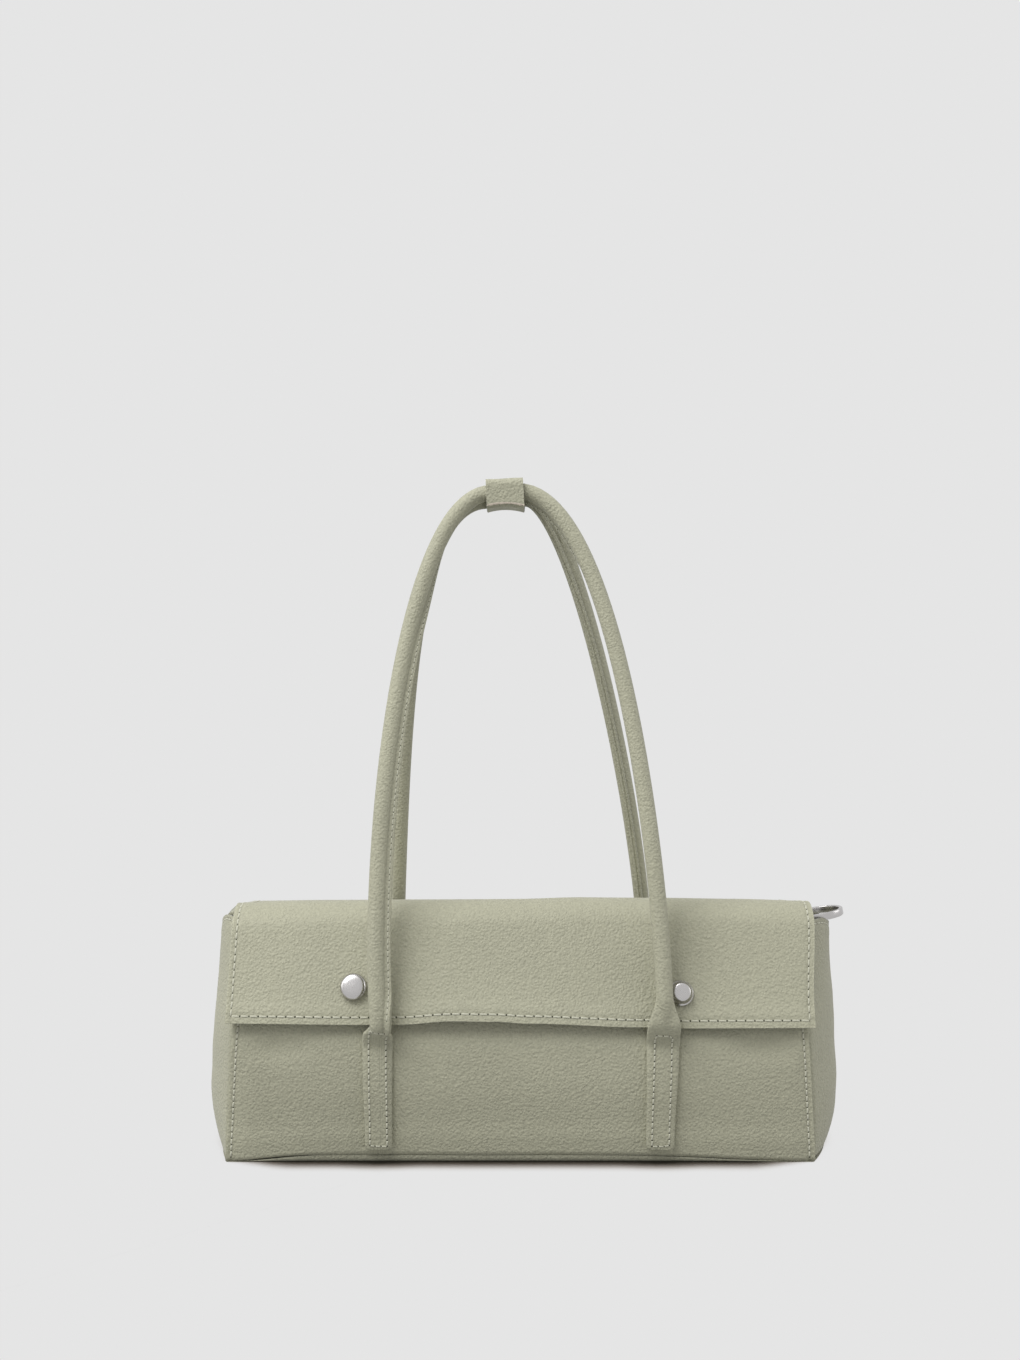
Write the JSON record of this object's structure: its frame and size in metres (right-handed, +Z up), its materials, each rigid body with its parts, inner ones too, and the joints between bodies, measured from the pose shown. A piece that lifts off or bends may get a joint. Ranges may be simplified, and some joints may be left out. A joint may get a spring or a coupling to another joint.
{
  "type": "baguette bag",
  "caption": "Long low flap bag in matte faux leather with billowed ends, stitched edges, twin tube handles held by a keeper, studs and end rings.",
  "frame": {"origin": "centre of the flat base, on the surface the bag stands on", "axes": "+Z up through the handles, +X towards the bag's left-hand end as it faces you (right in a front view), -Y out of the front"},
  "size_m": [0.3255, 0.1246, 0.3344],
  "materials": {
    "leather": "matte fine grain, sage green",
    "facing_leather": "matte, sage green",
    "lining_cloth": "plain woven cloth",
    "board": "raw board",
    "filler_cord": "twisted cotton filler",
    "thread": "waxed sewing thread, off-white",
    "nickel": "satin nickel plate",
    "magnet_steel": "plain plated steel"
  },
  "bodies": {
    "bag": {"front_panel": "leather", "back_panel": "leather", "base_panel": "leather", "base_board": "board", "left_gusset": "leather", "right_gusset": "leather", "lining": "lining_cloth", "mouth_facing": "facing_leather", "flap_strip": "leather", "front_left_tab": "leather", "front_right_tab": "leather", "rear_left_tab": "leather", "rear_right_tab": "leather", "left_panel_magnet": "magnet_steel", "right_panel_magnet": "magnet_steel", "left_magnet_washer": "magnet_steel", "right_magnet_washer": "magnet_steel", "left_ring_tab": "leather", "right_ring_tab": "leather"},
    "flap_top": {"flap_top_outer": "leather", "flap_top_facing": "facing_leather"},
    "flap_front": {"flap_front_outer": "leather", "flap_front_facing": "facing_leather", "left_stud": "nickel", "right_stud": "nickel", "left_flap_magnet": "magnet_steel", "right_flap_magnet": "magnet_steel"},
    "front_handle": {"front_handle_tube": "leather", "front_handle_core": "filler_cord", "keeper_front": "leather"},
    "rear_handle": {"rear_handle_tube": "leather", "rear_handle_core": "filler_cord", "keeper_rear": "leather"},
    "left_ring": {"left_ring": "nickel"},
    "right_ring": {"right_ring": "nickel"}
  },
  "joints": [
    {"name": "flap_lift", "type": "hinge", "parent": "bag", "child": "flap_top", "pos_m": [0, 0.03372, 0.11361], "axis": [-1, 0, 0], "range_deg": [0, 70]},
    {"name": "flap_fold", "type": "hinge", "parent": "flap_top", "child": "flap_front", "pos_m": [0, -0.02677, 0.118], "axis": [-1, 0, 0], "range_deg": [-63, 0]},
    {"name": "front_handle_tilt", "type": "hinge", "parent": "bag", "child": "front_handle", "pos_m": [0, -0.0582, 0.0625], "axis": [1, 0, 0], "range_deg": [0, 110]},
    {"name": "rear_handle_tilt", "type": "hinge", "parent": "bag", "child": "rear_handle", "pos_m": [0, 0.0582, 0.0625], "axis": [-1, 0, 0], "range_deg": [0, 110]},
    {"name": "left_ring_swing", "type": "hinge", "parent": "bag", "child": "left_ring", "pos_m": [-0.146, 0, 0.1098], "axis": [0, -1, 0], "range_deg": [0, 50]},
    {"name": "right_ring_swing", "type": "hinge", "parent": "bag", "child": "right_ring", "pos_m": [0.146, 0, 0.1098], "axis": [0, -1, 0], "range_deg": [0, 80]}
  ],
  "couplings": [
    {"joint": "flap_fold", "follows": "flap_lift", "ratio": -0.9}
  ]
}
